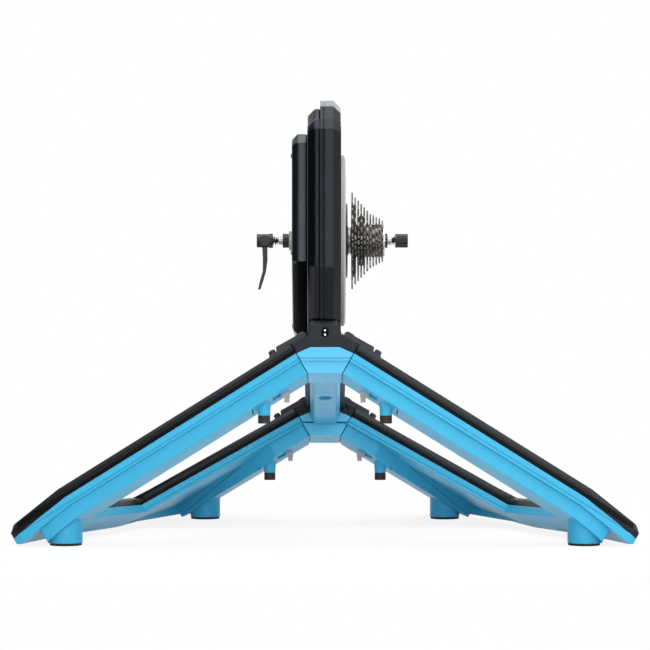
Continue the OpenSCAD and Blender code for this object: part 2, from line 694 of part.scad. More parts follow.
// Rotor: hub on the axle, drum plate, drum and magnets
drum_x0 = core_x0 - 1.5;
plate_x0 = 3;
plate_x1 = 7;
hub_x0 = -2;
hub_x1 = 29;
window_place = (rotor_hub_r + magnet_r) / 2;
window_r = (magnet_r - rotor_hub_r) * 0.22;
bearing_r = 13.98;
module rotor_drum() color(STEEL) axle_frame() difference() {
    translate([0, 0, drum_x0]) cylinder(h = plate_x1 - drum_x0, r = drum_r);
    translate([0, 0, drum_x0 - 1]) cylinder(h = plate_x0 - drum_x0 + 1, r = magnet_r);
    translate([0, 0, 0]) cylinder(h = 20, r = rotor_hub_r + seat_gap);
    for (i = [0 : 5]) rotate(i * 60 + 30) translate([window_place, 0, 0]) cylinder(h = 20, r = window_r);
}
hub_flange_t = 3;
hub_flange_r = 30;
module rotor_hub() color(STEEL) {
    ring(hub_x0, hub_x1, rotor_hub_r, bearing_r + seat_gap);
    ring(plate_x1, plate_x1 + hub_flange_t, hub_flange_r, rotor_hub_r - 1);
}
magnet_deg = 360 / magnet_count;
module rotor_magnets() color(DARK) axle_frame() for (i = [0 : magnet_count - 1]) rotate(i * magnet_deg)
    translate([0, 0, core_x0 - 1]) rotate_extrude(angle = magnet_deg - 1.6)
        translate([magnet_r - magnet_t, 0]) square([magnet_t - 0.05, core_x1 - core_x0 + 2]);
bearing_t = 8;
module rotor_bearings() color(STEEL) for (x = [hub_x0, hub_x1 - bearing_t - 1])
    ring(x, x + bearing_t, bearing_r, axle_d / 2 + run_gap);
disc_x = side_right + 1.2;
disc_t = 1.6;
disc_r = 46;
module perforated_disc() color(DARK) axle_frame() translate([0, 0, disc_x]) difference() {
    cylinder(h = disc_t, r = disc_r);
    translate([0, 0, -1]) cylinder(h = 4, r = rotor_hub_r + seat_gap);
    for (k = [0 : 17]) rotate(k * 20) {
        translate([disc_r - 6, 0, -1]) cylinder(h = 4, r = 2.6);
        rotate(10) translate([disc_r - 15, 0, -1]) cylinder(h = 4, r = 2);
    }
}
ratchet_x1 = hub_x1 + 2;
module drive_ratchet() color(STEEL) ring(hub_x1, ratchet_x1, 16, axle_d / 2 + 0.6);

// Freehub and cassette
freehub_x0 = ratchet_x1 + 0.4;
freehub_x1 = cog_x + 10 * cog_pitch + cog_t - 0.1;
hub_bearing_r = 13;
spline_r = freehub_r + 0.1;
module freehub_body() color(DARK) difference() {
    ring(freehub_x0, freehub_x1, freehub_r, hub_bearing_r + seat_gap);
    axle_frame() for (i = [0 : 8]) rotate(i * 40)
        translate([freehub_r - 0.8, -1.2, cog_x + 1]) cube([3, 2.4, 60]);
}
module freehub_bearings() color(STEEL) for (x = [freehub_x0 + 1, freehub_x1 - bearing_t - 1])
    ring(x, x + bearing_t, hub_bearing_r, axle_d / 2 + run_gap);

function cog_r(n) = chain_pitch / (2 * sin(180 / n));
function cog_at(i) = cog_x + i * cog_pitch;
tooth_h = 3.4;
// One tooth: root, flank, tip, tip, flank
function tooth(n, i) = let (r = cog_r(n), a = 360 / n) [for (k = [[-0.30, -3.2], [-0.16, 0.4],
    [-0.07, tooth_h], [0.07, tooth_h], [0.16, 0.4], [0.30, -3.2]])
        (r + k[1]) * [cos(a * (i + k[0])), sin(a * (i + k[0]))]];
module cog(i, r_in) color(STEEL) {
    n = teeth[i];
    axle_frame() translate([0, 0, cog_at(i)]) difference() {
        linear_extrude(cog_t) polygon([for (k = [0 : n - 1]) each tooth(n, k)]);
        translate([0, 0, -1]) cylinder(h = 4, r = r_in);
    }
}
large_in = 42;
middle_in = 27;
// A spider between two sprockets, with windows between its arms
module spider(x0, x1, r_out, arms) color(DARK) axle_frame() translate([0, 0, x0]) difference() {
    cylinder(h = x1 - x0, r = r_out);
    translate([0, 0, -1]) cylinder(h = 20, r = spline_r);
    for (k = [0 : arms - 1]) rotate(k * 360 / arms)
        translate([(r_out + spline_r) / 2, 0, -1]) cylinder(h = 20, r = (r_out - spline_r) * 0.34);
}
module large_carrier() {
    spider(cog_at(0) + cog_t, cog_at(1), large_in + 3, 6);
    color(DARK) ring(cog_at(0), cog_at(2), spline_r + 3, spline_r);
}
module middle_carrier() {
    spider(cog_at(2) + cog_t, cog_at(3), middle_in + 4, 5);
    spider(cog_at(3) + cog_t, cog_at(4), middle_in + 4, 5);
    color(DARK) ring(cog_at(2), cog_at(4) + cog_t, middle_in - 0.02, spline_r);
}
module cassette_spacers() color(GREY) for (i = [5 : 10])
    ring(cog_at(i - 1) + cog_t, cog_at(i), 20.4, spline_r);
module cassette_lockring() color(STEEL) difference() {
    ring(cog_at(10) + cog_t, lock_x1, 19.5, 11);
    axle_frame() for (i = [0 : 11]) rotate(i * 30) translate([10, -1.2, cog_at(10)]) cube([3, 2.4, 20]);
}
module small_sprockets() for (i = [8 : 10]) cog(i, spline_r);

// Skewer
head_x1 = drop_left - drop_len - 7.2;
head_x0 = head_x1 - head_len;
cam_x = head_x0 + 9.8;
cam_r = 6.2;
lever_t = 7;
nut_x0 = drop_right + drop_len + 4.8;
module skewer_rod() color(STEEL) axle_frame() translate([0, 0, head_x1 - 2])
    cylinder(h = nut_x0 + 12 - head_x1 + 2, r = rod_d / 2);
module cam_bore(r, w)
    translate([cam_x, axle_y - w / 2, axle_z]) rotate([-90, 0, 0]) cylinder(h = w, r = r);
module skewer_head() color(DARK) difference() {
    axle_frame() {
        translate([0, 0, head_x0]) cylinder(h = head_len, r = head_d / 2);
        translate([0, 0, head_x1]) cylinder(h = 1, r = 5);
    }
    axle_frame() translate([0, 0, head_x1 - 2]) cylinder(h = 4, r = rod_d / 2);
    cam_bore(cam_r + run_gap, head_d + 2);
    translate([head_x0 - 1, axle_y - lever_t / 2 - 0.3, axle_z - 12])
        cube([cam_x - head_x0 + 6.4, lever_t + 0.6, 24]);
}
lever_z = axle_z - 24;
LEVER = [[cam_x + 3.4, axle_z], [cam_x + 3.4, lever_z], [cam_x + 1.6, axle_z - 38],
    [cam_x - 2.6, axle_z - 52],
    [cam_x - 5.4, axle_z - 60.5], [cam_x - 8.2, axle_z - 60.8], [cam_x - 6.4, axle_z - 52],
    [cam_x - 2.4, axle_z - 38], [cam_x - 2.2, lever_z], [cam_x - 3.4, axle_z]];
module skewer_lever() color(DARK) {
    cam_bore(cam_r, head_d - 3);
    translate([0, axle_y + lever_t / 2, 0]) rotate([90, 0, 0]) linear_extrude(lever_t) polygon(LEVER);
    translate([0, axle_y + 6.5, 0]) rotate([90, 0, 0]) linear_extrude(13) intersection() {
        polygon(LEVER);
        translate([cam_x - 30, axle_z - 70]) square([60, 70 - 22]);
    }
}
module skewer_nut() color(DARK) axle_frame() translate([0, 0, nut_x0]) difference() {
    cylinder(h = nut_len, r = nut_d / 2);
    translate([0, 0, -1]) cylinder(h = 13.5, r = rod_d / 2 + run_gap);
    for (i = [0 : 11]) rotate(i * 30) translate([nut_d / 2 + 0.6, 0, 2.5]) cylinder(h = 20, r = 1.4);
}

// A conical spring: one tube of six sides, eight rings to a turn, with straight ends
SIDES = 6;
RINGS = 8;
function spring_point(t, x0, x1, r0, r1) = let (a = 360 * t * spring_turns)
    [x0 + (x1 - x0) * t, (r0 + (r1 - r0) * t) * cos(a), (r0 + (r1 - r0) * t) * sin(a)];
function spring_path(x0, x1, r0, r1) = let (n = spring_turns * RINGS,
    coil = [for (i = [0 : n]) spring_point(i / n, x0, x1, r0, r1)],
    a = coil[0] - coil[1], b = coil[n] - coil[n - 1])
    concat([coil[0] + wire_d * [0, a[1], a[2]] / norm([a[1], a[2]])], coil,
        [coil[n] + wire_d * [0, b[1], b[2]] / norm([b[1], b[2]])]);
function unit(v) = v / norm(v);
function spring_ring(p, i) = let (n = len(p),
    t = unit(p[min(i + 1, n - 1)] - p[max(i - 1, 0)]), s = unit(cross(t, [1, 0, 0])), b = cross(s, t))
    [for (k = [0 : SIDES - 1]) p[i] + wire_d / 2 * (cos(60 * k) * s + sin(60 * k) * b)];
module wire_spring(x0, x1, r0, r1) {
    p = spring_path(x0, x1, r0, r1);
    n = len(p);
    pts = [for (i = [0 : n - 1]) each spring_ring(p, i)];
    sides = [for (i = [0 : n - 2], k = [0 : SIDES - 1])
        let (a = i * SIDES + k, b = i * SIDES + (k + 1) % SIDES)
            each [[a, b, b + SIDES], [a, b + SIDES, a + SIDES]]];
    last = (n - 1) * SIDES;
    ends = [for (k = [1 : SIDES - 2]) each [[0, k + 1, k], [last, last + k, last + k + 1]]];
    gaps = [for (i = [0 : n - 1], j = [0 : n - 1])
        if (j - i >= RINGS - 2) norm(p[i] - p[j]) - wire_d];
    echo("least gap of the spring to itself, mm", min(gaps));
    translate([0, axle_y, axle_z]) polyhedron(pts, concat(sides, ends));
}
module left_spring() color(STEEL)
    wire_spring(head_x1 + 1 + wire_d / 2 + 0.1, drop_left - drop_len - wire_d / 2 - 0.1, 5.6, 3.6);
module right_spring() color(STEEL)
    wire_spring(drop_right + drop_len + wire_d / 2 + 0.1, nut_x0 - wire_d / 2 - 0.1, 3.6, 5.6);

module other_side() mirror([1, 0, 0]) children();

frame_casting();
rear_hub_cover();
front_hub_cover();
hinge_brackets();
hinge_pins();
left_housing();
right_housing();
motor_cover();
side_cover();
carry_handle();
axle_boss_ring();
cover_screws();
main_axle();
left_axle_adapter();
right_axle_adapter();
stator_carrier();
stator_core();
stator_coils();
control_board();
board_capacitors();
power_inlet();
rotor_drum();
rotor_hub();
rotor_magnets();
rotor_bearings();
perforated_disc();
drive_ratchet();
freehub_body();
freehub_bearings();
large_carrier();
middle_carrier();
cassette_spacers();
cassette_lockring();
cog(0, large_in);  // sprocket_28
cog(1, large_in);  // sprocket_25
cog(2, middle_in);  // sprocket_23
cog(3, middle_in);  // sprocket_21
cog(4, middle_in);  // sprocket_19
cog(5, spline_r);  // sprocket_17
cog(6, spline_r);  // sprocket_15
cog(7, spline_r);  // sprocket_14
small_sprockets();
skewer_rod();
skewer_head();
left_spring();
right_spring();
skewer_lever();
skewer_nut();
other_side() wing_casting();  // left_wing_casting
wing_casting();  // right_wing_casting
other_side() wing_cover();  // left_wing_cover
wing_cover();  // right_wing_cover
other_side() foot_pads();  // left_foot_pads
foot_pads();  // right_foot_pads
other_side() peg_caps();  // peg_caps_left
peg_caps();  // peg_caps_right
other_side() hinge_leaves();  // left_hinge_leaves
hinge_leaves();  // right_hinge_leaves
other_side() stop_clips();  // left_stop_clips
stop_clips();  // right_stop_clips
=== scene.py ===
"""Direct drive bike trainer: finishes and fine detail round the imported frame."""

import json
import logging
import math
from dataclasses import dataclass
from enum import Enum

import bpy
from mathutils import Matrix, Vector


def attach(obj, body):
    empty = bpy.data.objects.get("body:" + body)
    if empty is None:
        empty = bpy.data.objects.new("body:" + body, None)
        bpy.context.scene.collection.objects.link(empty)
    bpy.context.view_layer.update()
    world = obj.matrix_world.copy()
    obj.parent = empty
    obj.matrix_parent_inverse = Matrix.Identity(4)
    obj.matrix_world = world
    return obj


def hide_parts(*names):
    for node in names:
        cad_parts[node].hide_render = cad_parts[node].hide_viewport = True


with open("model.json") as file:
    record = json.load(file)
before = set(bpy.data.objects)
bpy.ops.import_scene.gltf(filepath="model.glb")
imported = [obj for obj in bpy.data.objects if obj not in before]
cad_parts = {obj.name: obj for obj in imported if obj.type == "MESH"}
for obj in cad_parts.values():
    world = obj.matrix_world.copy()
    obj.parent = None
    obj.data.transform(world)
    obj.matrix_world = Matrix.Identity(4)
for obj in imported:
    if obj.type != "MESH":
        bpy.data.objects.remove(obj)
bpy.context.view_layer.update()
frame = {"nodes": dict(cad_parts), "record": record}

LOG = logging.getLogger("trainer")
MM = 0.001
Triple = tuple[float, float, float]
REARWARD: Triple = (0.0, -1.0, 0.0)

# How the materials are drawn
NOISE_RANGE = (0.3, 0.7)
MOTTLE_DETAIL = 4.0
GRAIN_DETAIL = 2.0
GRAIN_STRENGTH = 0.5
POLISH_SPREAD = 0.04
EDGE_SAMPLES = 4

# How a CAD mesh is merged and shaded: lengths in metres, angles in degrees
SAME_POINT = 0.00001
SAME_PLANE = 0.5
ROUNDED_FROM = 24.0
CREASED_FROM = 28.0
FLAT_FACE_WEIGHT = 100

# A face looks a groove's way while its normal is within 60 degrees of it
LEAST_FACING = 0.5


def linear(hex_colour: str) -> tuple[float, float, float, float]:
    """Turn an sRGB hex colour into the linear colour that a shader takes.

    Args:
        hex_colour: Six hex digits after a hash sign.

    Returns:
        Red, green, blue and an alpha of 1.
    """
    parts = [int(hex_colour[i:i + 2], 16) / 255 for i in (1, 3, 5)]
    lin = [c / 12.92 if c <= 0.04045 else ((c + 0.055) / 1.055) ** 2.4 for c in parts]
    return lin[0], lin[1], lin[2], 1.0


def grey(level: float) -> tuple[float, float, float, float]:
    """Give a linear grey, from 0 for black to 1 for white."""
    return level, level, level, 1.0


def add_node(tree: bpy.types.NodeTree, kind: str, settings: dict | None = None,
             links: dict | None = None) -> bpy.types.Node:
    """Add one node with its settings and its incoming links.

    Args:
        tree: The node tree.
        kind: The node's type name.
        settings: Attribute names, or input numbers and names, to values.
        links: Input numbers or names to the output sockets that feed them.

    Returns:
        The new node.
    """
    made = tree.nodes.new(kind)
    for key, value in (settings or {}).items():
        if isinstance(key, str) and hasattr(made, key):
            setattr(made, key, value)
        else:
            made.inputs[key].default_value = value
    for key, socket in (links or {}).items():
        tree.links.new(socket, made.inputs[key])
    return made


def empty_material(name: str) -> bpy.types.Material:
    """Make a material whose node tree is still empty.

    Args:
        name: The material's name.

    Returns:
        The new material.
    """
    made = bpy.data.materials.new(name)
    made.use_nodes = True
    made.node_tree.nodes.clear()
    return made


@dataclass(frozen=True)
class Finish:
    """A surface: what it is made of and how it was made. Lengths are in millimetres.

    The polish varies a little with the mottle, as on real surfaces. The textures of mouldings and
    coatings, 0.1 to 0.5 mm wide on the real thing, are drawn 0.8 to 1.4 mm wide, so that they
    show.

    Attributes:
        name: The material's name.
        slot: The record's slot for a piece with this finish. Not used.
        colour: Its sRGB colour.
        roughness: How dull its shine is.
        metallic: 1 for bare metal.
        ior: Its index of refraction, about 1.5 for plastics, coatings and rubber.
        grain: The width of its texture's grains.
        grain_depth: The depth of the texture.
        mottle: How far its tone strays, as a share of the colour.
        mottle_size: The width of a mottled patch.
        brushed: How many times finer the patterns are along X, Y and Z.
        specular: The strength of its shine, 0.5 for a plain surface.
        shine: The sRGB tint of its shine.
        transmission: The share of the light that it lets through.
        soft_edge: The radius that its edges show in the shine.
    """

    name: str
    slot: str
    colour: str
    roughness: float
    metallic: float = 0.0
    ior: float = 1.5
    grain: float = 0.0
    grain_depth: float = 0.0
    mottle: float = 0.06
    mottle_size: float = 30.0
    brushed: Triple = (1.0, 1.0, 1.0)
    specular: float = 0.5
    shine: str = "#ffffff"
    transmission: float = 0.0
    soft_edge: float = 0.0

    def material(self) -> bpy.types.Material:
        """Build the material once and give it back on later calls.

        Returns:
            The material.
        """
        found = bpy.data.materials.get(self.name)
        if found:
            return found
        made = empty_material(self.name)
        tree = made.node_tree
        place = add_node(tree, "ShaderNodeTexCoord")
        spread = add_node(tree, "ShaderNodeMapping", {"Scale": self.brushed},
                          {"Vector": place.outputs["Object"]})
        shader = self._coloured_shader(tree, spread.outputs[0])
        self._shape_surface(tree, spread.outputs[0], shader)
        add_node(tree, "ShaderNodeOutputMaterial", None, {"Surface": shader.outputs[0]})
        return made

    def _coloured_shader(self, tree: bpy.types.NodeTree,
                         place: bpy.types.NodeSocket) -> bpy.types.Node:
        """Add the shader with its mottled colour and polish.

        Args:
            tree: The material's node tree.
            place: The place on the piece that the patterns are read at.

        Returns:
            The shader node.
        """
        mottle = add_node(tree, "ShaderNodeTexNoise",
                          {"Scale": 1 / (self.mottle_size * MM), "Detail": MOTTLE_DETAIL},
                          {"Vector": place})
        base = linear(self.colour)[:3]
        low = tuple(c * (1 - self.mottle) for c in base) + (1.0,)
        high = tuple(min(1.0, c * (1 + self.mottle)) for c in base) + (1.0,)
        colour = add_node(tree, "ShaderNodeMix", {"data_type": "RGBA", 6: low, 7: high},
                          {0: mottle.outputs["Fac"]})
        polish = add_node(tree, "ShaderNodeMapRange",
                          {"From Min": NOISE_RANGE[0], "From Max": NOISE_RANGE[1],
                           "To Min": max(0.0, self.roughness - POLISH_SPREAD),
                           "To Max": min(1.0, self.roughness + POLISH_SPREAD)},
                          {"Value": mottle.outputs["Fac"]})
        return add_node(tree, "ShaderNodeBsdfPrincipled",
                        {"Metallic": self.metallic, "IOR": self.ior,
                         "Specular IOR Level": self.specular,
                         "Specular Tint": linear(self.shine),
                         "Transmission Weight": self.transmission},
                        {"Base Color": colour.outputs[2], "Roughness": polish.outputs[0]})

    def _shape_surface(self, tree: bpy.types.NodeTree, place: bpy.types.NodeSocket,
                       shader: bpy.types.Node) -> None:
        """Feed the rounded edges and the grain to the shader, where the finish has them.

        Args:
            tree: The material's node tree.
            place: The place on the piece that the grain is read at.
            shader: The shader node.
        """
        surface = {}
        if self.soft_edge:
            edge = add_node(tree, "ShaderNodeBevel",
                            {"samples": EDGE_SAMPLES, "Radius": self.soft_edge * MM})
            surface = {"Normal": edge.outputs[0]}
        if self.grain:
            grains = add_node(tree, "ShaderNodeTexNoise",
                              {"Scale": 1 / (self.grain * MM), "Detail": GRAIN_DETAIL},
                              {"Vector": place})
            bump = add_node(tree, "ShaderNodeBump",
                            {"Strength": GRAIN_STRENGTH, "Distance": self.grain_depth * MM},
                            {"Height": grains.outputs["Fac"], **surface})
            surface = {"Normal": bump.outputs[0]}
        for name, socket in surface.items():
            tree.links.new(socket, shader.inputs[name])


class Finishes:
    """The finishes of the trainer, each named for the real material and, where it carries painted
    light or shade, for that too.
    """

    # Powder coated aluminium casting: even satin blue with a faint orange peel
    BLUE = Finish("powder_coated_casting", "blue_casting", "#359abf", roughness=0.4, grain=1.2,
                  grain_depth=0.04, mottle=0.03, specular=0.25, soft_edge=1.5)
    # The spine's casting: the same coat, drawn a little paler as painted light from the bright
    # floor below
    LIT_SPINE = Finish("powder_coated_spine", "blue_casting", "#4da4c9", roughness=0.4, grain=1.2,
                   grain_depth=0.04, mottle=0.03, specular=0.3, soft_edge=1.2)
    # Glass filled nylon, moulded with a spark texture: black with a broad, cool grey shine
    COVER = Finish("moulded_nylon_cover", "wing_cover_black", "#0e0f10", roughness=0.38,
                   grain=1.0, grain_depth=0.03, specular=0.35, shine="#e4eefc", soft_edge=3.0)
    # The same nylon along the cover's lower lip, drawn dull and blacker as painted shade
    LIP = Finish("moulded_nylon_lip", "wing_cover_black", "#040505", roughness=0.5, grain=1.0,
                 grain_depth=0.03, specular=0.15, shine="#e4eefc")
    # ABS, moulded with a very fine texture: black with a clear, bluish shine
    HOUSING = Finish("moulded_abs_housing", "housing_black", "#090a0c", roughness=0.2, grain=0.9,
                     grain_depth=0.01, specular=0.25, shine="#e2edff", soft_edge=2.2)
    # ABS with a coarser texture, which looks greyer
    MOTOR = Finish("textured_abs_motor_cover", "housing_black", "#101214", roughness=0.28,
                   grain=1.4, grain_depth=0.02, specular=0.55, shine="#eaf6ff", soft_edge=2.2)
    # Painted shade on the motor cover's faces that look down and back: the same ABS drawn deep
    # black, without texture and with hardly any shine
    SHADED_UNDERSIDE = Finish("plain_abs_underside", "housing_black", "#020202", roughness=0.5,
                       specular=0.06)
    # ABS, moulded smooth: warm, even, satin grey
    SIDE = Finish("grey_abs_side_cover", "side_cover_grey", "#a09b97", roughness=0.4, mottle=0.02)
    # ABS, moulded smooth: neutral grey, a little duller. On the carry handle the light grey partly
    # stands in for a painted highlight on its top
    LINER_AND_HIGHLIGHT = Finish("grey_abs_liner", "liner_grey", "#a3a3a1", roughness=0.45, mottle=0.02)
    # Black zinc plated steel of the hinges: nearly black with an uneven, soft shine
    HINGE = Finish("black_plated_steel", "hinge_black", "#26282a", roughness=0.4, mottle=0.08,
                   specular=0.4)
    # Turned steel: bright, with faint rings across the axle
    STEEL = Finish("turned_steel", "steel", "#a5a5a3", roughness=0.3, metallic=1.0, mottle=0.08,
                   mottle_size=2.0, brushed=(12.0, 1.0, 1.0))
    # Oiled spring steel of the skewer's rod and springs: dark with a warm shine
    WIRE = Finish("oiled_spring_steel", "steel", "#3b3a39", roughness=0.35, metallic=1.0,
                  mottle=0.1, mottle_size=3.0)
    # Nickel plated contact pins: bright and polished
    CONTACTS = Finish("nickel_contacts", "bright_pins", "#e2e2e0", roughness=0.18, metallic=1.0)
    # Black anodised aluminium of the skewer, end pieces and freehub: satin black
    ALLOY = Finish("black_anodised_aluminium", "black_alloy", "#141415", roughness=0.34,
                   mottle=0.08, specular=0.4)
    # Machined cast iron: mid grey, softly shining
    ROTOR = Finish("machined_iron_rotor", "rotor_metal", "#6b6e72", roughness=0.4, metallic=1.0)
    # Nickel coated magnets: dark grey with half a metal's shine
    MAGNET = Finish("coated_magnets", "magnet_dark", "#4a4c50", roughness=0.35, metallic=0.6)
    # Stacked steel sheets of 0.6 mm: dull grey with fine lines from sheet to sheet
    LAMINATE = Finish("laminated_core", "lamination_steel", "#6f7276", roughness=0.45,
                      metallic=0.9, mottle_size=0.6, brushed=(1.0, 0.1, 0.1))
    # Cast aluminium: pale grey, softly shining
    STATOR = Finish("cast_stator_carrier", "stator_alloy", "#a8aaac", roughness=0.4, metallic=1.0)
    # Enamelled copper wire of 0.8 mm: orange brown, changing from strand to strand
    COPPER = Finish("enamelled_windings", "copper_windings", "#b0622f", roughness=0.35,
                    metallic=0.8, mottle=0.2, mottle_size=0.8)
    # Glass epoxy board under solder mask: dark green with a satin shine
    BOARD = Finish("coated_circuit_board", "board_green", "#1f5a38", roughness=0.35)
    # Sleeved aluminium cans: glossy black
    CAPACITOR = Finish("sleeved_capacitor", "capacitor_black", "#202226", roughness=0.25)
    # Black coated steel sheet: satin black, a little cloudy
    DISC = Finish("black_steel_disc", "disc_dark", "#151516", roughness=0.4, mottle=0.1,
                  specular=0.4)
    # Nickel plated steel sprockets: warm grey with a bright shine, the grey drawn darker than the
    # plate as painted shade between the sprockets
    SPROCKET = Finish("nickel_plated_sprocket", "sprocket_steel", "#6a6865", roughness=0.24,
                      metallic=1.0, mottle=0.08, mottle_size=6.0)
    # Black anodised spiders of the cassette: satin black
    CARRIER = Finish("anodised_spider", "carrier_dark", "#0f0f10", roughness=0.42, specular=0.35)
    # Turned spacers between the sprockets: dark grey metal, darkened as painted shade from the
    # sprockets around them
    SHADED_SPACER = Finish("turned_spacer", "spacer_grey", "#4f4c49", roughness=0.3, metallic=0.9)
    # Nickel plated lockring: pale and bright
    LOCKRING = Finish("plated_lockring", "lockring_metal", "#c5c4c0", roughness=0.28, metallic=0.9)
    # Vulcanised rubber of the feet: dull black, faintly rough
    RUBBER = Finish("vulcanised_rubber", "rubber_black", "#1b1a1a", roughness=0.7, grain=0.8,
                    grain_depth=0.05, mottle=0.1, specular=0.3)
    # Softer rubber of the peg caps: brown black
    CAP = Finish("moulded_rubber_cap", "rubber_black", "#2c2624", roughness=0.6, grain=0.8,
                 grain_depth=0.05, mottle=0.1, specular=0.3)
    # Cast polyurethane of the stop clips: milky grey that lets some light through
    CLIP = Finish("translucent_polyurethane", "clear_clip", "#979a99", roughness=0.4,
                  transmission=0.3)


Dressing = tuple[tuple[str, Finish], ...]


class Side(Enum):
    """The side of the trainer, with its sign along X."""

    LEFT = -1
    RIGHT = 1


def body_named(node: str) -> str:
    """Give the body that carries a CAD node."""
    bodies = frame["record"]["behaviour"]["bodies"]
    return next(body for body, nodes in bodies.items() if node in nodes)


def deselect() -> None:
    """Leave object mode with nothing selected."""
    if bpy.context.object and bpy.context.object.mode != "OBJECT":
        bpy.ops.object.mode_set(mode="OBJECT")
    bpy.ops.object.select_all(action="DESELECT")


def make_active(piece: bpy.types.Object) -> None:
    """Select one piece alone and make it active.

    Args:
        piece: The piece.
    """
    deselect()
    piece.select_set(True)
    bpy.context.view_layer.objects.active = piece


def dress_nodes(dressing: Dressing) -> None:
    """Give CAD nodes their finishes and leave their shapes alone.

    Args:
        dressing: Pairs of a node's name and its finish.
    """
    for node, finish in dressing:
        piece = frame["nodes"][node]
        if not piece.data.materials:
            piece.data.materials.append(finish.material())
        for spot in piece.material_slots:
            spot.material = finish.material()
        LOG.info("dressed %s in %s", node, finish.name)


def paint_faces(piece: bpy.types.Object, finish: Finish, facing: Triple, least: float) -> None:
    """Give the faces of a piece that look one way a second finish.

    Args:
        piece: The piece, whose first finish stays on the other faces.
        finish: The second finish.
        facing: The direction that the faces look, of length 1.
        least: The least cosine between it and a face's normal.
    """
    piece.data.materials.append(finish.material())
    for face in piece.data.polygons:
        if face.normal.dot(Vector(facing)) > least:
            face.material_index = len(piece.data.materials) - 1


def level_shading(piece: bpy.types.Object) -> None:
    """Shade the active piece smooth across its small edges and keep its large faces flat.

    Args:
        piece: The piece, which is active and alone selected.
    """
    bpy.ops.object.shade_smooth_by_angle(angle=math.radians(CREASED_FROM))
    weighted = piece.modifiers.new("flat_faces", "WEIGHTED_NORMAL")
    weighted.keep_sharp = True
    weighted.weight = FLAT_FACE_WEIGHT
    bpy.ops.object.modifier_apply(modifier=weighted.name)


def merged_copy(node: str, weld: float) -> bpy.types.Object:
    """Copy a CAD node and merge its loose triangles into plain faces.

    Args:
        node: The CAD node.
        weld: The length in millimetres up to which an edge is closed up, or 0.

    Returns:
        The copy, active and alone selected, at the origin.
    """
    source = frame["nodes"][node]
    deselect()
    piece = source.copy()
    piece.data = source.data.copy()
    piece.name = f"{node}_rounded"
    for key in [k for k in piece.keys() if k.startswith("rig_")]:
        del piece[key]
    bpy.context.collection.objects.link(piece)
    piece.parent = None
    piece.matrix_world = Matrix.Identity(4)
    make_active(piece)
    bpy.ops.object.mode_set(mode="EDIT")
    bpy.ops.mesh.select_all(action="SELECT")
    bpy.ops.mesh.remove_doubles(threshold=SAME_POINT)
    bpy.ops.mesh.dissolve_limited(angle_limit=math.radians(SAME_PLANE))
    if weld:
        bpy.ops.mesh.remove_doubles(threshold=weld * MM)
        bpy.ops.mesh.dissolve_degenerate(threshold=SAME_POINT)
    bpy.ops.object.mode_set(mode="OBJECT")
    return piece


def rounded_copy(node: str, finish: Finish, width: float, segments: int = 2,
                 weld: float = 0.0) -> bpy.types.Object:
    """Stand a copy of a CAD node with softened edges in for the node.

    Args:
        node: The CAD node.
        finish: The copy's finish.
        width: The edge radius in millimetres.
        segments: The faces across one rounded edge.
        weld: The length in millimetres up to which an edge is closed up first. Without it the
            radius shrinks to what the shortest edges allow.

    Returns:
        The copy, which rides on the node's body.
    """
    piece = merged_copy(node, weld)
    bevel = piece.modifiers.new("edge", "BEVEL")
    bevel.width = width * MM
    bevel.segments = segments
    bevel.limit_method = "ANGLE"
    bevel.angle_limit = math.radians(ROUNDED_FROM)
    bevel.harden_normals = False
    bevel.use_clamp_overlap = not weld
    bpy.ops.object.modifier_apply(modifier=bevel.name)
    level_shading(piece)
    piece.data.materials.clear()
    piece.data.materials.append(finish.material())
    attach(piece, body_named(node))
    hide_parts(node)
    LOG.info("rounded %s in %s", node, finish.name)
    return piece


@dataclass(frozen=True)
class Groove:
    """A shallow groove between two parallel planes, in the faces of one room. Millimetres.

    Attributes:
        normal: The direction square to the planes.
        place: The middle's place along it.
        width: The distance between the planes.
        depth: How deep the faces are sunk.
        low: The room's lowest corner.
        high: The room's highest corner.
        facing: The direction that the sunk faces look within 60 degrees, or None for all.
    """

    normal: Triple
    place: float
    width: float
    depth: float
    low: Triple
    high: Triple
    facing: Triple | None = None

    def holds(self, middle: Vector, outward: Vector) -> bool:
        """Tell whether a face is sunk.

        Args:
            middle: The face's middle in millimetres.
            outward: The face's normal.

        Returns:
            True if it lies between the planes and in the room, and looks the right way.
        """
        if abs(middle.dot(Vector(self.normal)) - self.place) > self.width / 2:
            return False
        if self.facing and outward.dot(Vector(self.facing)) < LEAST_FACING:
            return False
        return all(a < m < b for a, m, b in zip(self.low, middle, self.high))

    def cut(self, piece: bpy.types.Object, finish: Finish | None = None) -> None:
        """Sink the groove into a piece.

        Args:
            piece: The piece.
            finish: The finish of the groove's floor, where it has its own.
        """
        make_active(piece)
        if finish:
            piece.data.materials.append(finish.material())
        bpy.ops.object.mode_set(mode="EDIT")
        for edge in (self.place - self.width / 2, self.place + self.width / 2):
            bpy.ops.mesh.select_all(action="SELECT")
            bpy.ops.mesh.bisect(plane_co=Vector(self.normal) * edge * MM, plane_no=self.normal)
        bpy.ops.mesh.select_all(action="DESELECT")
        bpy.ops.object.mode_set(mode="OBJECT")
        for face in piece.data.polygons:
            face.select = self.holds(face.center / MM, face.normal)
            if finish and face.select:
                face.material_index = len(piece.data.materials) - 1
        bpy.ops.object.mode_set(mode="EDIT")
        bpy.ops.mesh.select_mode(type="FACE")
        bpy.ops.mesh.extrude_region_shrink_fatten(
            TRANSFORM_OT_shrink_fatten={"value": -self.depth * MM})
        bpy.ops.mesh.select_mode(type="VERT")
        bpy.ops.object.mode_set(mode="OBJECT")
        level_shading(piece)


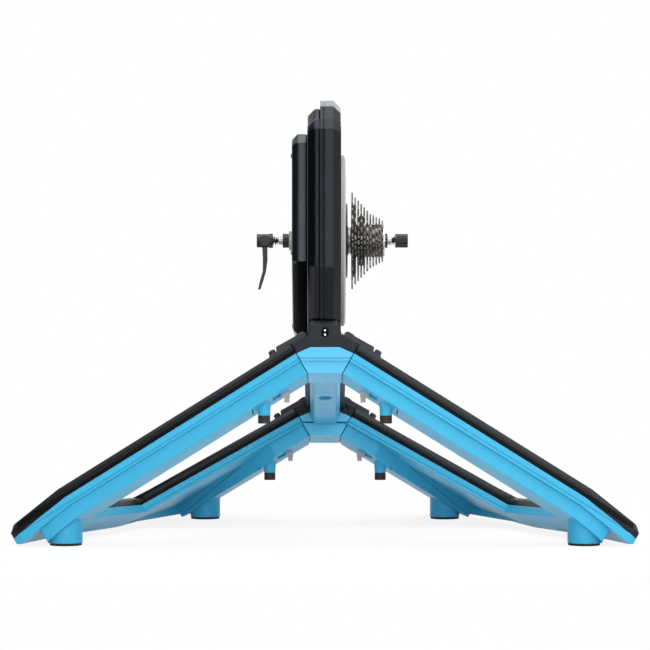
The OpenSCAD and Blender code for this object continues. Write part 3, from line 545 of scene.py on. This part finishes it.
@dataclass(frozen=True)
class Layout:
    """Where the castings' top faces lie. Degrees and millimetres.

    Attributes:
        slope: How far the spine drops forwards.
        droop: How far the wings droop outwards.
        corner: The right rear corner of the spine's top face.
    """

    slope: float = 15.0
    droop: float = 30.0
    corner: Triple = (40.8, -262.0, 243.0)

    def top_face(self, side: int) -> tuple[Triple, float]:
        """Set out a top face.

        Args:
            side: -1 for the left wing, 1 for the right wing and 0 for the spine.

        Returns:
            The direction square to the face, and the face's place along it.
        """
        turn, lean = math.radians(self.slope), math.radians(self.droop * abs(side))
        up = (side * math.sin(lean), math.cos(lean) * math.sin(turn),
              math.cos(lean) * math.cos(turn))
        return up, Vector(up).dot(Vector((side * self.corner[0], *self.corner[1:])))


@dataclass
class Spine:
    """The sloping spine with its hub covers, hinges and power inlet. Millimetres.

    The line is the contour line across the rear hub. Its drop is measured square to the spine's
    top face.
    """

    layout: Layout = Layout()
    casting_edge: float = 1.0
    cover_edge: float = 1.2
    weld: float = 0.7
    line_drop: float = 18.6
    line_width: float = 1.5
    line_depth: float = 0.9
    line_room: tuple[Triple, Triple] = ((-40, -300, 60), (40, 200, 260))
    plain: Dressing = (
        ("hinge_brackets", Finishes.HINGE),
        ("hinge_pins", Finishes.HINGE),
        ("power_inlet", Finishes.CONTACTS),
    )

    def build(self) -> None:
        """Round the casting and the covers, sink the line and dress the rest."""
        # The spine's paler coat is painted light from below
        casting = rounded_copy("frame_casting", Finishes.LIT_SPINE, self.casting_edge, weld=self.weld)
        up, top = self.layout.top_face(0)
        Groove(up, top - self.line_drop, self.line_width, self.line_depth, *self.line_room,
               facing=REARWARD).cut(casting)
        for node in ("rear_hub_cover", "front_hub_cover"):
            rounded_copy(node, Finishes.COVER, self.cover_edge, weld=self.weld)
        dress_nodes(self.plain)


@dataclass
class LegWing:
    """One leg wing with its cover, feet, pegs, hinge leaves and clips. Millimetres.

    The line runs over the rib on the rear faces of the casting. The lip is the lower part of the
    cover's rear faces, drawn darker as painted shade. The upper and lower edges of both are
    measured square to the wing's top face, and their ends along X. The room is how far both reach
    fore, aft and up.
    """

    side: Side
    layout: Layout = Layout()
    casting_edge: float = 1.2
    cover_edge: float = 3.0
    cover_segments: int = 3
    line_top: float = 20.75
    line_low: float = 22.25
    line_depth: float = 0.9
    line_ends: tuple[float, float] = (20.0, 300.0)
    lip_top: float = 9.2
    lip_low: float = 15.9
    lip_depth: float = 0.6
    lip_ends: tuple[float, float] = (-368.0, 368.0)
    room: float = 300.0

    def build(self) -> None:
        """Round the casting and the cover, sink the line and the lip, paint the lip's shade, and
        dress the rest.
        """
        word = self.side.name.lower()
        casting = rounded_copy(f"{word}_wing_casting", Finishes.BLUE, self.casting_edge)
        self._rear_groove(self.line_top, self.line_low, self.line_depth,
                          self.line_ends).cut(casting)
        cover = rounded_copy(f"{word}_wing_cover", Finishes.COVER, self.cover_edge,
                             self.cover_segments)
        # The lip's darker finish is painted shade
        self._rear_groove(self.lip_top, self.lip_low, self.lip_depth,
                          self.lip_ends).cut(cover, Finishes.LIP)
        dress_nodes((
            (f"{word}_foot_pads", Finishes.RUBBER),
            (f"peg_caps_{word}", Finishes.CAP),
            (f"{word}_hinge_leaves", Finishes.HINGE),
            (f"{word}_stop_clips", Finishes.CLIP),
        ))

    def _rear_groove(self, top: float, low: float, depth: float,
                     ends: tuple[float, float]) -> Groove:
        """Set out a groove along the wing's rear faces.

        Args:
            top: The upper edge, below the wing's top face.
            low: The lower edge, below the wing's top face.
            depth: The groove's depth.
            ends: The groove's ends along X on the right wing.

        Returns:
            The groove.
        """
        up, face = self.layout.top_face(self.side.value)
        left, right = sorted(self.side.value * end for end in ends)
        return Groove(up, face - (top + low) / 2, low - top, depth, (left, -self.room, 0.0),
                      (right, self.room, self.room), REARWARD)


@dataclass
class MotorBody:
    """The housing, motor cover, side cover and grip, with the motor inside. Millimetres.

    The seam is the line where the two halves of the housing meet. The underside is what looks
    down and back within 49 degrees of its facing, and is drawn near black as painted shade.
    """

    edge: float = 2.0
    weld: float = 0.7
    underside_facing: Triple = (0.0, -0.6, -0.8)
    underside_least: float = 0.65
    seam_place: float = -1.3
    seam_width: float = 1.4
    seam_depth: float = 1.0
    seam_room: tuple[Triple, Triple] = ((-5.5, -290, 225), (20, 170, 550))
    plain: Dressing = (
        ("side_cover", Finishes.SIDE),
        # The handle's light grey is partly a painted highlight
        ("carry_handle", Finishes.LINER_AND_HIGHLIGHT),
        ("axle_boss_ring", Finishes.LINER_AND_HIGHLIGHT),
        ("cover_screws", Finishes.HINGE),
        ("stator_carrier", Finishes.STATOR),
        ("stator_core", Finishes.LAMINATE),
        ("stator_coils", Finishes.COPPER),
        ("control_board", Finishes.BOARD),
        ("board_capacitors", Finishes.CAPACITOR),
        ("rotor_drum", Finishes.ROTOR),
        ("rotor_hub", Finishes.ROTOR),
        ("rotor_magnets", Finishes.MAGNET),
        ("rotor_bearings", Finishes.STEEL),
        ("perforated_disc", Finishes.DISC),
        ("drive_ratchet", Finishes.STEEL),
    )

    def build(self) -> None:
        """Round the casing, paint the shade on its underside, sink its seam and dress the rest."""
        cover = rounded_copy("motor_cover", Finishes.MOTOR, self.edge, weld=self.weld)
        # Painted shade: the cover's faces that look down and back are drawn near black
        paint_faces(cover, Finishes.SHADED_UNDERSIDE, self.underside_facing, self.underside_least)
        rounded_copy("left_housing", Finishes.HOUSING, self.edge, weld=self.weld)
        right = rounded_copy("right_housing", Finishes.HOUSING, self.edge)
        Groove((1.0, 0.0, 0.0), self.seam_place, self.seam_width, self.seam_depth,
               *self.seam_room).cut(right)
        dress_nodes(self.plain)


@dataclass
class Cassette:
    """The sprockets on the freehub body."""

    plain: Dressing = (
        ("freehub_body", Finishes.ALLOY),
        ("freehub_bearings", Finishes.STEEL),
        ("large_carrier", Finishes.CARRIER),
        ("middle_carrier", Finishes.CARRIER),
        # The spacers' dark grey is painted shade
        ("cassette_spacers", Finishes.SHADED_SPACER),
        ("cassette_lockring", Finishes.LOCKRING),
    )

    def build(self) -> None:
        """Dress the cassette's nodes."""
        sprockets = [node for node in frame["nodes"]
                     if node.startswith("sprocket_") or node == "small_sprockets"]
        # The sprockets' darker grey is partly painted shade
        dress_nodes(self.plain + tuple((node, Finishes.SPROCKET) for node in sprockets))


@dataclass
class AxleGroup:
    """The fixed axle, its end pieces and the quick release skewer with its springs."""

    plain: Dressing = (
        ("main_axle", Finishes.STEEL),
        ("skewer_rod", Finishes.WIRE),
        ("left_spring", Finishes.WIRE),
        ("right_spring", Finishes.WIRE),
        ("left_axle_adapter", Finishes.ALLOY),
        ("right_axle_adapter", Finishes.ALLOY),
        ("skewer_head", Finishes.ALLOY),
        ("skewer_lever", Finishes.ALLOY),
        ("skewer_nut", Finishes.ALLOY),
    )

    def build(self) -> None:
        """Dress the axle's and the skewer's nodes."""
        dress_nodes(self.plain)


@dataclass(frozen=True)
class Lamp:
    """One soft lamp. Metres and watts.

    Attributes:
        name: The lamp's name.
        place: Where it hangs.
        aim: The point that it faces.
        width: Its width.
        power: Its power.
        height: Its height, if it isn't square.
        shines: Whether it shows in glossy surfaces.
    """

    name: str
    place: Triple
    aim: Triple
    width: float
    power: float
    height: float = 0.0
    shines: bool = True

    def hang(self) -> None:
        """Add the lamp and turn it to its aim."""
        data = bpy.data.lights.new(self.name, "AREA")
        data.size = self.width
        if self.height:
            data.shape = "RECTANGLE"
            data.size_y = self.height
        data.energy = self.power
        lamp = bpy.data.objects.new(self.name, data)
        bpy.context.collection.objects.link(lamp)
        lamp.location = self.place
        lamp.visible_glossy = self.shines
        turn = (Vector(self.aim) - Vector(self.place)).to_track_quat("-Z", "Y")
        lamp.rotation_euler = turn.to_euler()


@dataclass
class Studio:
    """The pale floor, the white surroundings, the soft lamps and the camera. Metres.

    To the camera the floor is plain white by the share floor_white near the trainer, and all
    white beyond the fade. The rest is its own matt surface, which keeps a faint shadow. The flag
    is a card that stands upright, so its size is its height and its length along Y.
    """

    camera_place: Triple = (0.0, -3.41, 0.282)
    tilt_down: float = 0.322
    lens: float = 147.7
    sensor: float = 36.0
    floor_size: float = 80.0
    floor_white: float = 0.86
    floor_matt: float = 0.88
    fade: tuple[float, float] = (0.42, 0.75)
    surround: float = 0.58
    flag_place: Triple = (-1.5, -0.9, 0.9)
    flag_size: tuple[float, float] = (1.8, 3.4)
    lamps: tuple[Lamp, ...] = (
        Lamp("overhead", (0.1, -0.5, 2.3), (0.0, 0.0, 0.1), width=2.2, power=40.0),
        Lamp("right_soft", (2.2, -1.0, 1.5), (0.0, 0.0, 0.2), width=1.4, power=9.0),
        Lamp("rear_fill", (1.3, -3.0, 2.1), (0.0, 0.0, 0.2), width=1.6, power=14.0),
        Lamp("low_fill", (0.0, -3.7, 0.65), (0.0, 0.0, 0.4), width=1.3, power=10.0),
        Lamp("under_fill", (0.0, -2.6, 0.2), (0.0, 0.2, 0.15), width=2.4, height=0.36,
             power=20.0, shines=False),
        Lamp("left_box", (-1.6, -3.0, 0.6), (0.0, -0.1, 0.2), width=0.6, height=1.6,
             power=14.0, shines=False),
        Lamp("right_box", (1.6, -3.0, 0.6), (0.0, -0.1, 0.2), width=0.6, height=1.6,
             power=12.0, shines=False),
    )

    def build(self) -> None:
        """Make the floor, the world, the lamps, the flag and the camera."""
        self._floor()
        self._world()
        for lamp in self.lamps:
            lamp.hang()
        self._flag()
        self._camera()

    def _flag(self) -> None:
        """Stand a black card at the left, out of the camera's sight, that darkens that side."""
        deselect()
        bpy.ops.mesh.primitive_plane_add(size=1.0, location=self.flag_place,
                                         rotation=(0, math.radians(90), 0))
        flag = bpy.context.object
        flag.name = "studio_flag"
        flag.scale = (*self.flag_size, 1.0)
        flag.visible_camera = False
        flag.visible_shadow = False
        made = empty_material("black_card")
        card = add_node(made.node_tree, "ShaderNodeBsdfPrincipled",
                        {"Base Color": grey(0.01), "Roughness": 0.9, "Specular IOR Level": 0.1})
        add_node(made.node_tree, "ShaderNodeOutputMaterial", None, {"Surface": card.outputs[0]})
        flag.data.materials.append(made)

    def _floor(self) -> None:
        """Lay a white floor that keeps a faint shadow near the trainer and is plain further off."""
        deselect()
        bpy.ops.mesh.primitive_plane_add(size=self.floor_size)
        floor = bpy.context.object
        floor.name = "studio_floor"
        made = empty_material("white_floor")
        tree = made.node_tree
        path = add_node(tree, "ShaderNodeLightPath")
        place = add_node(tree, "ShaderNodeNewGeometry")
        distance = add_node(tree, "ShaderNodeVectorMath", {"operation": "LENGTH"},
                            {0: place.outputs["Position"]})
        away = add_node(tree, "ShaderNodeMapRange",
                        {"interpolation_type": "SMOOTHSTEP", "From Min": self.fade[0],
                         "From Max": self.fade[1], "To Min": self.floor_white, "To Max": 1.0},
                        {"Value": distance.outputs["Value"]})
        white = add_node(tree, "ShaderNodeEmission", {"Color": grey(1.0), "Strength": 1.0})
        matt = add_node(tree, "ShaderNodeBsdfDiffuse", {"Color": grey(self.floor_matt)})
        seen = add_node(tree, "ShaderNodeMath", {"operation": "MULTIPLY"},
                        {0: path.outputs["Is Camera Ray"], 1: away.outputs[0]})
        share = add_node(tree, "ShaderNodeMath", {"operation": "MAXIMUM"},
                         {0: seen.outputs[0], 1: self._mirrored(tree, path)})
        mixed = add_node(tree, "ShaderNodeMixShader", None,
                         {0: share.outputs[0], 1: matt.outputs[0], 2: white.outputs[0]})
        add_node(tree, "ShaderNodeOutputMaterial", None, {"Surface": mixed.outputs[0]})
        floor.data.materials.append(made)

    def _world(self) -> None:
        """Surround the scene with white that lights it only a little."""
        world = bpy.data.worlds.new("studio_world")
        bpy.context.scene.world = world
        world.use_nodes = True
        tree = world.node_tree
        tree.nodes.clear()
        path = add_node(tree, "ShaderNodeLightPath")
        seen = add_node(tree, "ShaderNodeMath", {"operation": "MAXIMUM"},
                        {0: path.outputs["Is Camera Ray"], 1: self._mirrored(tree, path)})
        soft = add_node(tree, "ShaderNodeBackground",
                        {"Color": grey(1.0), "Strength": self.surround})
        white = add_node(tree, "ShaderNodeBackground", {"Color": grey(1.0), "Strength": 1.0})
        mixed = add_node(tree, "ShaderNodeMixShader", None,
                         {0: seen.outputs[0], 1: soft.outputs[0], 2: white.outputs[0]})
        add_node(tree, "ShaderNodeOutputWorld", None, {"Surface": mixed.outputs[0]})

    @staticmethod
    def _mirrored(tree: bpy.types.NodeTree, path: bpy.types.Node) -> bpy.types.NodeSocket:
        """Add the test for a ray that comes from metal or a clear piece.

        Args:
            tree: The node tree.
            path: Its Light Path node.

        Returns:
            The socket that is 1 for such a ray.
        """
        mirror = add_node(tree, "ShaderNodeMath", {"operation": "MAXIMUM"},
                          {0: path.outputs["Is Glossy Ray"],
                           1: path.outputs["Is Transmission Ray"]})
        return mirror.outputs[0]

    def _camera(self) -> None:
        """Put the camera behind the trainer, as the photograph has it."""
        data = bpy.data.cameras.new("camera")
        data.lens = self.lens
        data.sensor_width = self.sensor
        camera = bpy.data.objects.new("camera", data)
        bpy.context.collection.objects.link(camera)
        camera.location = self.camera_place
        camera.rotation_euler = (math.radians(90 - self.tilt_down), 0.0, 0.0)
        bpy.context.scene.camera = camera
        bpy.context.scene.view_settings.view_transform = "Standard"


def main() -> None:
    """Build every assembly in order and report it."""
    logging.basicConfig(level=logging.INFO, format="%(message)s")
    parts = [Spine(), LegWing(Side.LEFT), LegWing(Side.RIGHT), MotorBody(), Cassette(),
             AxleGroup(), Studio()]
    for part in parts:
        part.build()
        LOG.info("built %s", type(part).__name__)


if __name__ == "__main__":
    main()
